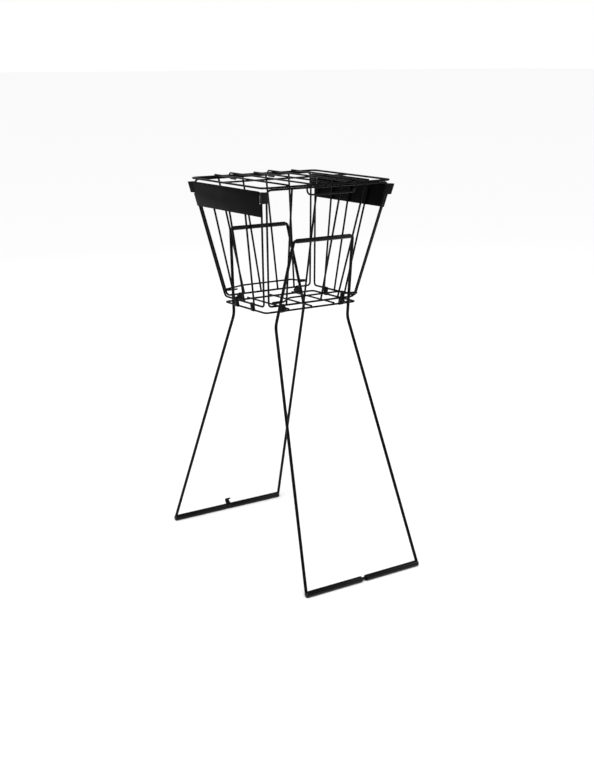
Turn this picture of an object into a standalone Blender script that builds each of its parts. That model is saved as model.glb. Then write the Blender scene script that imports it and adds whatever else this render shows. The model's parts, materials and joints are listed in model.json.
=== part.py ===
"""Wire ball hopper on two folding leg frames, one object for each piece, in metres with +Z up.

The origin is on the floor under the basket's centre. X runs along the basket's long side and Y
across it, so the front is at -Y. The basket's four walls are welded wire panels that lean outwards
and are held together by corner clips. A wire ring with three cross bars closes the bottom. The leg
frames turn in hinge blocks on the ring, and the lid turns on the back rim.
"""

import math

import bmesh
import bpy
from mathutils import Matrix, Vector

# Gap that touching pieces keep
CLEARANCE = 0.0003
# How far crossing wires sink into each other at a weld
WELD_SINK = 0.0008
# A bore's flats lie inside its circle, so it is this much wider than its wire
BORE_PLAY = 0.00075

# Wires, as diameters
FRAME_WIRE = 0.0045
RIB_WIRE = 0.004
RING_WIRE = 0.0045
GRID_WIRE = 0.004
LID_FRAME_WIRE = 0.0045
LID_WIRE = 0.004
LEG_WIRE = 0.006
BRACE_WIRE = 0.004

# Basket, measured between wire centres
RIM_HEIGHT = 0.8665
BASKET_DEPTH = 0.262
TOP_LENGTH = 0.3255
TOP_WIDTH = 0.2965
BOTTOM_LENGTH = 0.2335
BOTTOM_WIDTH = 0.1725
SHORT_RIM_DROP = 0.005
CORNER_GAP_X = 0.0086
CORNER_GAP_Y = 0.0062
CORNER_BEND = 0.010
LONG_RIBS = 4
SHORT_RIBS = 3

# Corner clips
CLIP_WALL = 0.0015
CLIP_HEIGHT = 0.024
CLIP_DROP = 0.004
CLIP_NOSE_X = 0.0072
CLIP_NOSE_Y = 0.0054
CLIP_NOSE_RADIUS = 0.002

# Plates on the short walls
PLATE_HEIGHT = 0.052
PLATE_THICKNESS = 0.0015

# Bottom ring and its cross bars
RING_DROP = 0.0135
RING_INSET_X = 0.0068
RING_INSET_Y = 0.0038
RING_BEND = 0.022
GRID_BARS = 3
GRID_PITCH = 0.0625

# Clamps between the walls' bottom wires and the ring
RING_CLIP_WIDTH = 0.0095
RING_CLIP_WALL = 0.0012
HINGE_BLOCK_WIDTH = 0.016
HINGE_BLOCK_WALL = 0.002
HINGE_BLOCK_SPREAD = 0.0807

# Leg frames
PIN_WIRE = 0.005
PIN_OUT = 0.008
PIN_RISE = 0.004
CROSSBAR_DROP = 0.1192
CROSSBAR_LENGTH = 0.1584
CROSSBAR_SLEEVE = 0.0085
KNEE_DROP = 0.036
KNEE_SPAN = 0.198
KNEE_BEND = 0.035
FOOT_LENGTH = 0.312
FOOT_REACH = 0.286
FOOT_SLEEVE = 0.014
FOOT_NECK = 0.0125
FOOT_SLEEVE_OVERHANG = 0.001
FOOT_SLEEVE_CHAMFER = 0.0015
TIGHT_BEND = 0.0065

# Braces that hook round the leg frames
BRACE_RISE = 0.027
BRACE_TIP_SPAN = 0.228
BRACE_END_SPAN = 0.170
BRACE_TIP_DROP = 0.007
BRACE_STRAIGHT_SPAN = 0.138
BRACE_RIB_GAP = 0.0012
BRACE_BULGE = 0.0016
BRACE_INNER_BEND = 0.015
BRACE_OUTER_BEND = 0.012

# Catch on the back foot bar
CATCH_WIDTH = 0.009
CATCH_REACH = 0.015
CATCH_WALL = 0.002
CATCH_LIP = 0.003

# Lid
LID_GAP_Y = 0.002
LID_BEND = 0.012
LID_BARS = 5
LID_PITCH = 0.0533
LID_BAR_OVERHANG = 0.003
LID_CROSS_WIRE_Y = 0.012
EYE_SWEEP = 280
LIP_DROP = 0.0146
LIP_STANDOFF = 0.0085
LIP_BEND = 0.0045

FRONT, BACK, LEFT, RIGHT = -1, 1, -1, 1

# Worked out from the sizes above
SHORT_RIM_HEIGHT = RIM_HEIGHT - SHORT_RIM_DROP
BOTTOM_HEIGHT = RIM_HEIGHT - BASKET_DEPTH
RING_HEIGHT = BOTTOM_HEIGHT - RING_DROP
RING_X = BOTTOM_LENGTH / 2 + CORNER_GAP_X - RING_INSET_X
RING_Y = BOTTOM_WIDTH / 2 - RING_INSET_Y
PIN_Y = BOTTOM_WIDTH / 2 + PIN_OUT
PIN_HEIGHT = RING_HEIGHT + PIN_RISE
CROSSBAR_HEIGHT = RIM_HEIGHT - CROSSBAR_DROP
FOOT_HEIGHT = FOOT_SLEEVE / 2
LID_REST = (FRAME_WIRE + LID_FRAME_WIRE) / 2 + CLEARANCE
LID_HEIGHT = RIM_HEIGHT + math.sqrt(LID_REST**2 - LID_GAP_Y**2)
LID_BAR_HEIGHT = LID_HEIGHT + (LID_FRAME_WIRE + LID_WIRE) / 2 - WELD_SINK

BLACK = (0.012, 0.012, 0.013)
SLEEVE_BLACK = (0.030, 0.027, 0.027)


def clear_scene():
    for obj in list(bpy.data.objects):
        bpy.data.objects.remove(obj)


def material(name, colour, roughness, metallic):
    made = bpy.data.materials.new(name)
    made.use_nodes = True
    shader = made.node_tree.nodes["Principled BSDF"]
    shader.inputs["Base Color"].default_value = (*colour, 1)
    shader.inputs["Roughness"].default_value = roughness
    shader.inputs["Metallic"].default_value = metallic
    made.diffuse_color = (*colour, 1)
    return made


def arc_at(before, corner, after, bend):
    """Points of the arc that rounds one corner of a path, about 20 degrees apart."""
    to_before = (before - corner).normalized()
    to_after = (after - corner).normalized()
    half_angle = to_before.angle(to_after) / 2
    turn = math.pi - 2 * half_angle
    if turn < math.radians(1) or bend <= 0:
        return [corner]
    reach = min((before - corner).length, (after - corner).length) * 0.49
    bend = min(bend, reach * math.tan(half_angle))
    centre = corner + (to_before + to_after).normalized() * bend / math.sin(half_angle)
    start = corner + to_before * bend / math.tan(half_angle) - centre
    axis = start.cross(corner - centre).normalized()
    steps = max(2, round(turn / math.radians(20)))
    return [centre + Matrix.Rotation(turn * i / steps, 3, axis) @ start for i in range(steps + 1)]


def rounded(corners, bends, closed):
    """The path through the corners with each one rounded to its bend radius."""
    corners = [Vector(corner) for corner in corners]
    if not isinstance(bends, (list, tuple)):
        bends = [bends] * len(corners)
    count = len(corners)
    path = []
    for i, corner in enumerate(corners):
        if not closed and i in (0, count - 1):
            path.append(corner)
        else:
            path += arc_at(corners[i - 1], corner, corners[(i + 1) % count], bends[i])
    return path


def wire(path, diameter, closed=False, resolution=2):
    """Mesh of a round wire along a path. The wire has 2 * resolution + 4 sides."""
    curve = bpy.data.curves.new("wire", "CURVE")
    curve.dimensions = "3D"
    curve.bevel_depth = diameter / 2
    curve.bevel_resolution = resolution
    curve.use_fill_caps = not closed
    spline = curve.splines.new("POLY")
    spline.points.add(len(path) - 1)
    for point, place in zip(spline.points, path):
        point.co = (*place, 1)
    spline.use_cyclic_u = closed
    holder = bpy.data.objects.new("wire", curve)
    mesh = bpy.data.meshes.new_from_object(holder)
    bpy.data.objects.remove(holder)
    return outward(mesh)


def outward(mesh):
    """The mesh with doubled points merged and every face turned outwards."""
    shape = bmesh.new()
    shape.from_mesh(mesh)
    bmesh.ops.remove_doubles(shape, verts=shape.verts, dist=1e-6)
    bmesh.ops.recalc_face_normals(shape, faces=shape.faces)
    shape.to_mesh(mesh)
    shape.free()
    return mesh


def rod(start, end, diameter, sides=8):
    """Mesh of a straight round bar, with one flat side facing -Z where it lies level."""
    start, end = Vector(start), Vector(end)
    along = (end - start).normalized()
    up = Vector((0, 0, 1)) if abs(along.z) < 0.9 else Vector((0, 1, 0))
    side = along.cross(up).normalized()
    up = side.cross(along)
    axes = Matrix((side, up, along)).transposed().to_4x4()
    turn = Matrix.Rotation(math.pi / sides + math.pi / 2, 4, "Z")
    place = Matrix.Translation((start + end) / 2) @ axes @ turn
    shape = bmesh.new()
    bmesh.ops.create_cone(
        shape,
        cap_ends=True,
        segments=sides,
        radius1=diameter / 2,
        radius2=diameter / 2,
        depth=(end - start).length,
        matrix=place,
    )
    mesh = bpy.data.meshes.new("rod")
    shape.to_mesh(mesh)
    shape.free()
    return outward(mesh)


def circle(centre, first, second, radius, count=16):
    """Points of a circle in the plane of two unit vectors."""
    centre, first, second = Vector(centre), Vector(first), Vector(second)
    angles = [2 * math.pi * i / count for i in range(count)]
    return [centre + radius * (math.cos(a) * first + math.sin(a) * second) for a in angles]


def hull(points):
    """Mesh of the smallest convex body round the points."""
    shape = bmesh.new()
    for point in points:
        shape.verts.new(point)
    made = bmesh.ops.convex_hull(shape, input=shape.verts)
    spare = {item for item in made["geom_interior"] + made["geom_unused"]}
    bmesh.ops.delete(shape, geom=[v for v in spare if isinstance(v, bmesh.types.BMVert)])
    bmesh.ops.dissolve_limit(
        shape, angle_limit=math.radians(0.5), verts=shape.verts, edges=shape.edges
    )
    mesh = bpy.data.meshes.new("hull")
    shape.to_mesh(mesh)
    shape.free()
    return outward(mesh)


def combined(base, others, operation):
    """The base mesh after an exact Boolean with each of the other meshes."""
    holder = bpy.data.objects.new("base", base)
    bpy.context.scene.collection.objects.link(holder)
    helpers = []
    for mesh in others:
        helper = bpy.data.objects.new("operand", mesh)
        helper.hide_render = True
        helper.display_type = "WIRE"
        bpy.context.scene.collection.objects.link(helper)
        helpers.append(helper)
        step = holder.modifiers.new(operation, "BOOLEAN")
        step.operation = operation
        step.solver = "EXACT"
        step.object = helper
    bpy.context.view_layer.update()
    graph = bpy.context.evaluated_depsgraph_get()
    mesh = bpy.data.meshes.new_from_object(holder.evaluated_get(graph))
    for obj in (holder, *helpers):
        bpy.data.objects.remove(obj)
    return mesh


def fused(base, *others):
    return combined(base, others, "UNION")


def cut(base, *cutters):
    return combined(base, cutters, "DIFFERENCE")


def piece(name, mesh, finish, carrier=None):
    """One named object. Its origin is its carrier's, which stands on a joint's axis."""
    mesh.name = name
    mesh.materials.clear()
    mesh.materials.append(finish)
    if carrier:
        mesh.transform(Matrix.Translation(-carrier.matrix_world.translation))
    mesh.shade_smooth()
    mesh.set_sharp_from_angle(angle=math.radians(50))
    obj = bpy.data.objects.new(name, mesh)
    bpy.context.scene.collection.objects.link(obj)
    obj.parent = carrier
    return obj


def axis_empty(name, place, carrier=None):
    """An empty on a joint's axis, given in world coordinates."""
    empty = bpy.data.objects.new(name, None)
    bpy.context.scene.collection.objects.link(empty)
    empty.parent = carrier
    start = carrier.matrix_world.translation if carrier else Vector()
    empty.location = Vector(place) - start
    bpy.context.view_layer.update()
    return empty


def basket_share(z):
    """0 at the walls' bottom wires and 1 at the long rims."""
    return (z - BOTTOM_HEIGHT) / BASKET_DEPTH


def long_wall_y(z):
    return (BOTTOM_WIDTH + (TOP_WIDTH - BOTTOM_WIDTH) * basket_share(z)) / 2


def long_wall_x(z):
    return (BOTTOM_LENGTH + (TOP_LENGTH - BOTTOM_LENGTH) * basket_share(z)) / 2


def long_edge(side):
    """Gives the point of a long wall at share s of its half width and height z."""
    return lambda s, z: Vector((s * long_wall_x(z), side * long_wall_y(z), z))


def short_edge(side):
    """The same for a short wall, which stands outside the long walls' uprights."""
    return lambda s, z: Vector(
        (side * (long_wall_x(z) + CORNER_GAP_X), s * (long_wall_y(z) - CORNER_GAP_Y), z)
    )


def rib_shares(count):
    return [2 * (i + 1) / (count + 1) - 1 for i in range(count)]


def wall_frame_path(edge, top):
    corners = [edge(-1, BOTTOM_HEIGHT), edge(1, BOTTOM_HEIGHT), edge(1, top), edge(-1, top)]
    return rounded(corners, CORNER_BEND, closed=True)


def wall_panel(edge, top, ribs):
    frame = wire(wall_frame_path(edge, top), FRAME_WIRE, closed=True)
    rods = [rod(edge(s, BOTTOM_HEIGHT), edge(s, top), RIB_WIRE) for s in rib_shares(ribs)]
    return fused(frame, *rods)


def clip_body(side_x, side_y, grow=0):
    """The solid round two neighbouring uprights, with a nose that stands out at the corner."""
    top = RIM_HEIGHT - CLIP_DROP
    nose = Vector((side_x * CLIP_NOSE_X, side_y * CLIP_NOSE_Y, 0))
    points = []
    for z in (top - CLIP_HEIGHT - grow, top + grow):
        uprights = (long_edge(side_y)(side_x, z), short_edge(side_x)(side_y, z))
        for centre in uprights:
            points += circle(centre, (1, 0, 0), (0, 1, 0), FRAME_WIRE / 2 + CLIP_WALL + grow)
        tip = (uprights[0] + uprights[1]) / 2 + nose
        points += circle(tip, (1, 0, 0), (0, 1, 0), CLIP_NOSE_RADIUS + grow)
    return hull(points)


def corner_clip(side_x, side_y):
    """A band round two neighbouring uprights, cut by the wires it holds."""
    fit = FRAME_WIRE + 2 * CLEARANCE
    return cut(
        clip_body(side_x, side_y),
        wire(wall_frame_path(long_edge(side_y), RIM_HEIGHT), fit, closed=True),
        wire(wall_frame_path(short_edge(side_x), SHORT_RIM_HEIGHT), fit, closed=True),
    )


def plate(side):
    """A sheet on the outside of a short wall, from its rim down, notched round the corner clips."""
    edge = short_edge(side)
    lean = (edge(0, RIM_HEIGHT) - edge(0, BOTTOM_HEIGHT)).normalized()
    out = Vector((0, side, 0)).cross(lean).normalized()
    out = out if out.x * side > 0 else -out
    inner = FRAME_WIRE / 2 + CLEARANCE
    points = []
    for z in (SHORT_RIM_HEIGHT - PLATE_HEIGHT, SHORT_RIM_HEIGHT):
        for s in (-1, 1):
            corner = edge(s, z) + Vector((0, s * FRAME_WIRE / 2, 0))
            points += [corner + out * inner, corner + out * (inner + PLATE_THICKNESS)]
    clips = [clip_body(side, side_y, CLEARANCE) for side_y in (FRONT, BACK)]
    return cut(hull(points), *clips)


def ring_path():
    corners = [(-1, -1), (1, -1), (1, 1), (-1, 1)]
    places = [(x * RING_X, y * RING_Y, RING_HEIGHT) for x, y in corners]
    return rounded(places, RING_BEND, closed=True)


def bottom_grid():
    """The ring with its cross bars welded on top."""
    height = RING_HEIGHT + (RING_WIRE + GRID_WIRE) / 2 - WELD_SINK
    reach = RING_Y + RING_WIRE / 4
    bars = []
    for i in range(GRID_BARS):
        x = GRID_PITCH * (i - (GRID_BARS - 1) / 2)
        bars.append(rod((x, -reach, height), (x, reach, height), GRID_WIRE))
    return fused(wire(ring_path(), RING_WIRE, closed=True), *bars)


def clamp(edge, ribs, top, along, across, spread, width, wall, ring_across, pin=None):
    """A block round a wall's bottom wire and the ring, and round a hinge pin if it has one.

    along is the unit vector of the wires, across points outwards, and spread places the middle.
    """
    along, across, up = Vector(along), Vector(across), Vector((0, 0, 1))
    wall_wire = edge(0, BOTTOM_HEIGHT)
    ring_wire = across * ring_across + up * RING_HEIGHT
    holes = [(wall_wire, FRAME_WIRE), (ring_wire, RING_WIRE)]
    if pin:
        holes.append((pin, PIN_WIRE))
    points, cutters = [], []
    for centre, diameter in holes:
        for end in (spread - width / 2, spread + width / 2):
            points += circle(centre + along * end, across, up, diameter / 2 + wall)
        long_start = centre + along * (spread - width)
        long_end = centre + along * (spread + width)
        cutters.append(rod(long_start, long_end, diameter + BORE_PLAY, 16))
    for s in rib_shares(ribs):
        cutters.append(rod(edge(s, BOTTOM_HEIGHT), edge(s, top), RIB_WIRE + BORE_PLAY))
    return cut(hull(points), *cutters)


def pin_place(side):
    return Vector((0, side * PIN_Y, PIN_HEIGHT))


def hinge_block(side_x, side_y):
    return clamp(
        long_edge(side_y),
        LONG_RIBS,
        RIM_HEIGHT,
        (1, 0, 0),
        (0, side_y, 0),
        side_x * HINGE_BLOCK_SPREAD,
        HINGE_BLOCK_WIDTH,
        HINGE_BLOCK_WALL,
        RING_Y,
        pin_place(side_y),
    )


def ring_clip(side_x, side_y):
    """A band round a short wall's bottom wire, where its outer rib stands, and the ring."""
    rib_y = rib_shares(SHORT_RIBS)[-1] * (long_wall_y(BOTTOM_HEIGHT) - CORNER_GAP_Y)
    return clamp(
        short_edge(side_x),
        SHORT_RIBS,
        SHORT_RIM_HEIGHT,
        (0, 1, 0),
        (side_x, 0, 0),
        side_y * rib_y,
        RING_CLIP_WIDTH,
        RING_CLIP_WALL,
        RING_X,
    )


def crossbar_y():
    """The crossbar's sleeve rests against the wall's ribs."""
    lean = math.atan2((TOP_WIDTH - BOTTOM_WIDTH) / 2, BASKET_DEPTH)
    off = (RIB_WIRE / 2 + CLEARANCE + CROSSBAR_SLEEVE / 2) / math.cos(lean)
    return long_wall_y(CROSSBAR_HEIGHT) + off


def leg_side(z):
    """Half span and distance from the middle of a leg's straight upper part at height z."""
    knee_height = PIN_HEIGHT - KNEE_DROP
    share = (CROSSBAR_HEIGHT - z) / (CROSSBAR_HEIGHT - knee_height)
    span = (CROSSBAR_LENGTH + (KNEE_SPAN - CROSSBAR_LENGTH) * share) / 2
    slope = (crossbar_y() - PIN_Y) / (CROSSBAR_HEIGHT - PIN_HEIGHT)
    return span, PIN_Y + slope * (z - PIN_HEIGHT)


def leg_path(side):
    knee_height = PIN_HEIGHT - KNEE_DROP
    levels = [
        (CROSSBAR_LENGTH / 2, crossbar_y(), CROSSBAR_HEIGHT),
        (KNEE_SPAN / 2, leg_side(knee_height)[1], knee_height),
        (FOOT_LENGTH / 2, FOOT_REACH, FOOT_HEIGHT),
    ]
    bends = [TIGHT_BEND, KNEE_BEND, TIGHT_BEND]
    right = [(x, side * y, z) for x, y, z in levels]
    left = [(-x, y, z) for x, y, z in reversed(right)]
    return rounded(right + left, bends + bends[::-1], closed=True)


def leg_frame(side):
    """One bent wire with two hinge pins welded to its insides."""
    span = leg_side(PIN_HEIGHT)[0]
    reach = HINGE_BLOCK_SPREAD - HINGE_BLOCK_WIDTH / 2
    centre = pin_place(side)
    pins = []
    for end in (-1, 1):
        start, stop = Vector((end * span, 0, 0)), Vector((end * reach, 0, 0))
        pins.append(rod(centre + start, centre + stop, PIN_WIRE, 12))
    return fused(wire(leg_path(side), LEG_WIRE, closed=True, resolution=3), *pins)


def brace_path(side):
    """Straight in front of the ribs, round the outside of each leg wire and back behind it."""
    height = PIN_HEIGHT + BRACE_RISE
    tip_height = height - BRACE_TIP_DROP
    span, leg_y = leg_side(tip_height)
    off = (LEG_WIRE + BRACE_WIRE) / 2 + CLEARANCE
    inner_y = long_wall_y(height) + (RIB_WIRE + BRACE_WIRE) / 2 + BRACE_RIB_GAP
    tip, end = BRACE_TIP_SPAN / 2, BRACE_END_SPAN / 2
    half = [
        (BRACE_STRAIGHT_SPAN / 2, inner_y, height),
        (span - off / 2, leg_y + off + BRACE_BULGE, tip_height + BRACE_TIP_DROP / 4),
        (tip, leg_y + off, tip_height),
        (tip, leg_y - off, tip_height),
        (end, leg_y - off, tip_height),
    ]
    right = [(x, side * y, z) for x, y, z in half]
    left = [(-x, y, z) for x, y, z in reversed(right)]
    bends = [BRACE_INNER_BEND, BRACE_OUTER_BEND, off, off, 0]
    return rounded(left + right, bends[::-1] + bends, closed=False)


def crossbar_sleeve(side):
    """A tube on the crossbar."""
    sides = 12
    centre = Vector((0, side * crossbar_y(), CROSSBAR_HEIGHT))
    reach = Vector((CROSSBAR_LENGTH / 2 - TIGHT_BEND, 0, 0))
    # A rod's flats lie inside its circle, so the outside is widened to them
    outer = rod(centre - reach, centre + reach, CROSSBAR_SLEEVE / math.cos(math.pi / sides), sides)
    return cut(outer, rod(centre - 2 * reach, centre + 2 * reach, LEG_WIRE + BORE_PLAY, sides))


def foot_sleeve(side_x, side_y):
    """A thick tube on half a foot bar. The leg wire comes out of its closed outer end."""
    sides = 16
    inner, outer = FOOT_NECK / 2, FOOT_LENGTH / 2 + FOOT_SLEEVE_OVERHANG
    radius = FOOT_SLEEVE / 2 / math.cos(math.pi / sides)
    small = radius - FOOT_SLEEVE_CHAMFER
    down, out = Vector((0, 0, -1)), Vector((0, 1, 0))
    first = Matrix.Rotation(math.pi / sides, 3, "X") @ down
    second = Matrix.Rotation(math.pi / sides, 3, "X") @ out
    points = []
    for x, size in (
        (inner, small),
        (inner + FOOT_SLEEVE_CHAMFER, radius),
        (outer - FOOT_SLEEVE_CHAMFER, radius),
        (outer, small),
    ):
        centre = (side_x * x, side_y * FOOT_REACH, FOOT_HEIGHT)
        points += circle(centre, first, second, size, sides)
    fit = LEG_WIRE + 2 * CLEARANCE
    return cut(hull(points), wire(leg_path(side_y), fit, closed=True, resolution=3))


def catch():
    """An eye on the back foot bar with a strap up to a hook that fits over the front bar."""
    bar = Vector((0, FOOT_REACH, FOOT_HEIGHT))
    half = Vector((CATCH_WIDTH / 2, 0, 0))
    up, out = Vector((0, 0, 1)), Vector((0, 1, 0))
    bore = LEG_WIRE / 2 + 2 * CLEARANCE
    eye = rod(bar - half, bar + half, 2 * (bore + CATCH_WALL), 16)
    hook = bar + up * CATCH_REACH
    root = bore + CATCH_WALL / 4
    profile = []
    angles = [math.radians(-90 + 20 * i) for i in range(10)]
    for radius, order in ((bore + CATCH_WALL, 1), (bore, -1)):
        for angle in angles[::order]:
            profile.append(hook + radius * (math.sin(angle) * up + math.cos(angle) * out))
        if order == 1:
            profile.append(profile[-1] - out * CATCH_LIP)
            profile.append(profile[-1] - up * CATCH_WALL)
    strap = [
        bar + half * s + out * offset + up * rise
        for s in (-1, 1)
        for offset in (0, CATCH_WALL)
        for rise in (root, CATCH_REACH - root)
    ]
    return cut(
        fused(eye, hull(strap), extruded(profile, half)),
        rod(bar - 2 * half, bar + 2 * half, 2 * bore, 16),
    )


def extruded(profile, half):
    """Mesh of a flat outline, swept from -half to +half."""
    shape = bmesh.new()
    face = shape.faces.new([shape.verts.new(point - half) for point in profile])
    swept = bmesh.ops.extrude_face_region(shape, geom=[face])
    moved = [item for item in swept["geom"] if isinstance(item, bmesh.types.BMVert)]
    bmesh.ops.translate(shape, verts=moved, vec=2 * half)
    mesh = bpy.data.meshes.new("extruded")
    shape.to_mesh(mesh)
    shape.free()
    return outward(mesh)


def lid_loop_path():
    """From one hinge eye over the front rim, down round the lip and back to the other eye."""
    rim_y = TOP_WIDTH / 2
    rise = LID_BAR_HEIGHT - RIM_HEIGHT
    lip_y = rim_y + LIP_STANDOFF
    eye = []
    for degrees in range(0, EYE_SWEEP + 1, 20):
        angle = math.radians(90 - degrees)
        place = (LID_PITCH, rim_y + rise * math.cos(angle), RIM_HEIGHT + rise * math.sin(angle))
        eye.append(Vector(place))
    radius = (rise + LIP_DROP) / 2
    middle = LID_BAR_HEIGHT - radius
    lip = []
    for degrees in range(60, 181, 20):
        angle = math.radians(degrees)
        place = (LID_PITCH + radius * math.sin(angle), -lip_y, middle + radius * math.cos(angle))
        lip.append(Vector(place))
    right = [*reversed(eye), Vector((LID_PITCH, -lip_y, LID_BAR_HEIGHT)), *lip]
    left = [Vector((-p.x, p.y, p.z)) for p in reversed(right)]
    bends = [0] * len(eye) + [LIP_BEND] + [0] * len(lip)
    return rounded(right + left, bends + bends[::-1], closed=False)


def lid():
    half_x = TOP_LENGTH / 2 + CORNER_GAP_X
    half_y = TOP_WIDTH / 2 - LID_GAP_Y
    corners = [(-1, -1), (1, -1), (1, 1), (-1, 1)]
    frame = rounded([(x * half_x, y * half_y, LID_HEIGHT) for x, y in corners], LID_BEND, True)
    reach = half_y + LID_BAR_OVERHANG
    parts = []
    for i in range(LID_BARS):
        x = LID_PITCH * (i - (LID_BARS - 1) / 2)
        if abs(abs(x) - LID_PITCH) > LID_PITCH / 2:
            parts.append(rod((x, -reach, LID_BAR_HEIGHT), (x, reach, LID_BAR_HEIGHT), LID_WIRE))
    cross_ends = [(x, LID_CROSS_WIRE_Y, LID_HEIGHT) for x in (-half_x, half_x)]
    parts.append(rod(*cross_ends, LID_WIRE))
    parts.append(wire(lid_loop_path(), LID_WIRE))
    return fused(wire(frame, LID_FRAME_WIRE, closed=True), *parts)


def build_basket(coat, band, sheet, moulding):
    for side, name in ((FRONT, "front"), (BACK, "back")):
        piece(f"{name}_panel", wall_panel(long_edge(side), RIM_HEIGHT, LONG_RIBS), coat)
    for side, name in ((LEFT, "left"), (RIGHT, "right")):
        panel = wall_panel(short_edge(side), SHORT_RIM_HEIGHT, SHORT_RIBS)
        piece(f"{name}_panel", panel, coat)
        piece(f"{name}_plate", plate(side), sheet)
    piece("bottom_grid", bottom_grid(), coat)
    for side_y, depth in ((FRONT, "front"), (BACK, "back")):
        for side_x, name in ((LEFT, "left"), (RIGHT, "right")):
            piece(f"{depth}_{name}_corner_clip", corner_clip(side_x, side_y), band)
            piece(f"{depth}_{name}_ring_clip", ring_clip(side_x, side_y), band)
            piece(f"{depth}_{name}_hinge_block", hinge_block(side_x, side_y), moulding)


def build_leg(side, depth, coat, cover):
    """A leg frame with its brace and sleeves, carried by an empty on its hinge axis."""
    carrier = axis_empty(f"{depth}_leg_axis", pin_place(side))
    piece(f"{depth}_leg_frame", leg_frame(side), coat, carrier)
    piece(f"{depth}_leg_brace", wire(brace_path(side), BRACE_WIRE), coat, carrier)
    piece(f"{depth}_crossbar_sleeve", crossbar_sleeve(side), cover, carrier)
    for side_x, name in ((LEFT, "left"), (RIGHT, "right")):
        piece(f"{depth}_{name}_foot_sleeve", foot_sleeve(side_x, side), cover, carrier)
    return carrier


def main():
    clear_scene()
    coat = material("black_coated_wire", BLACK, 0.35, 0.0)
    band = material("black_band", BLACK, 0.45, 0.0)
    sheet = material("black_plate", BLACK, 0.5, 0.0)
    moulding = material("black_moulding", BLACK, 0.55, 0.0)
    cover = material("black_sleeve", SLEEVE_BLACK, 0.55, 0.0)
    build_basket(coat, band, sheet, moulding)
    build_leg(FRONT, "front", coat, cover)
    back_leg = build_leg(BACK, "back", coat, cover)
    foot_bar = (0, FOOT_REACH, FOOT_HEIGHT)
    piece("catch", catch(), moulding, axis_empty("catch_axis", foot_bar, back_leg))
    rim = (0, TOP_WIDTH / 2, RIM_HEIGHT)
    piece("lid", lid(), coat, axis_empty("lid_axis", rim))


main()
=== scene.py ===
"""Dresses a wire ball hopper on folding legs: every wire, clip, sleeve and plate with its finish.

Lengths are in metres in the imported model's own frame, with +Z up and the lid's lip at -Y. Each
sub-assembly is a class whose fields are its sizes. It draws its meshes, gives them a finish and
reports each piece to the frame, so that it moves with the right body.
"""

import json
import logging
import math
from collections.abc import Callable, Iterable, Sequence
from dataclasses import dataclass
from enum import Enum
from functools import partial

import bmesh
import bpy
from bmesh.types import BMEdge, BMesh, BMVert
from mathutils import Matrix, Vector


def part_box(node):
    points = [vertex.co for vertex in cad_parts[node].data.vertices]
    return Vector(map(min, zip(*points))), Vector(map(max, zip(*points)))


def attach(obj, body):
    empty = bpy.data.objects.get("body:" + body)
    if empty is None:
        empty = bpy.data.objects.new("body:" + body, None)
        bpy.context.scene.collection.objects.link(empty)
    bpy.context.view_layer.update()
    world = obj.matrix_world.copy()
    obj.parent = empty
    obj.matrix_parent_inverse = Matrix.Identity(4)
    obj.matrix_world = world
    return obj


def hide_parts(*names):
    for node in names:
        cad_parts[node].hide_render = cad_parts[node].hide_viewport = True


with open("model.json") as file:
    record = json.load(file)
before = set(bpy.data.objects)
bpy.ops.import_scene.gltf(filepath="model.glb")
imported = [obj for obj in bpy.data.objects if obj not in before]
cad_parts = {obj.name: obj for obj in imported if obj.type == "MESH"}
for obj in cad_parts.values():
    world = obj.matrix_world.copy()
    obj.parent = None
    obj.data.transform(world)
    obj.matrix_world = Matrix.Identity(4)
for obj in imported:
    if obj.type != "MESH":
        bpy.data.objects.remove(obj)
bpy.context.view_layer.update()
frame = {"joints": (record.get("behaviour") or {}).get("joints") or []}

log = logging.getLogger("hopper")

MM = 0.001
X, Y, Z = Vector((1, 0, 0)), Vector((0, 1, 0)), Vector((0, 0, 1))
FULL_TURN = 2 * math.pi
IMAGE_HEIGHT = 767

# Sides of a wire, points of a hull's circle, steps of a sleeve's rim and the largest step of a bend
ROUND = 20
CIRCLE_POINTS = 28
RIM_STEPS = 6
ARC_STEP = math.radians(9)

# Turns under the first are straight. The others tell sharp edges of a hull, a band and a piece
STRAIGHT = math.radians(1)
HULL_EDGE = math.radians(40)
BAND_EDGE = math.radians(60)
PIECE_EDGE = math.radians(45)

# The share of a side that a bend may take up, and of its diameter that a cut wire's rim is rounded
BEND_SHARE = 0.49
END_ROUND = 0.15

# A Mix node's sockets for colours: its two inputs and its output
MIX_FROM, MIX_TO, MIX_RESULT = 6, 7, 2


class Side(Enum):
    """Which way a wall or a leg faces from the middle."""

    FRONT = (0, -1)
    BACK = (0, 1)
    LEFT = (-1, 0)
    RIGHT = (1, 0)

    @property
    def sign(self) -> int:
        """-1 or 1 along the side's own axis."""
        return sum(self.value)

    @property
    def word(self) -> str:
        """The side's name as the pieces use it."""
        return self.name.lower()


LONG_SIDES = (Side.FRONT, Side.BACK)
SHORT_SIDES = (Side.LEFT, Side.RIGHT)


@dataclass(frozen=True)
class Gauge:
    """Wire diameters, how far welded wires sink into each other, and the gap that fits leave."""

    frame: float = 4.5 * MM
    rib: float = 4.5 * MM
    ring: float = 4.5 * MM
    grid: float = 4 * MM
    lid_frame: float = 4.5 * MM
    lid: float = 4 * MM
    leg: float = 7 * MM
    brace: float = 4 * MM
    pin: float = 5 * MM
    sink: float = 0.8 * MM
    gap: float = 0.3 * MM


WIRES = Gauge()


def linear(hex_colour: str) -> tuple[float, float, float, float]:
    """Turns an sRGB hex colour to Blender's linear one.

    Args:
        hex_colour: the colour as #rrggbb.

    Returns:
        Red, green, blue and an alpha of 1.
    """
    parts = [int(hex_colour[i : i + 2], 16) / 255 for i in (1, 3, 5)]
    red, green, blue = (
        part / 12.92 if part <= 0.04045 else ((part + 0.055) / 1.055) ** 2.4 for part in parts
    )
    return red, green, blue, 1.0


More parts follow.
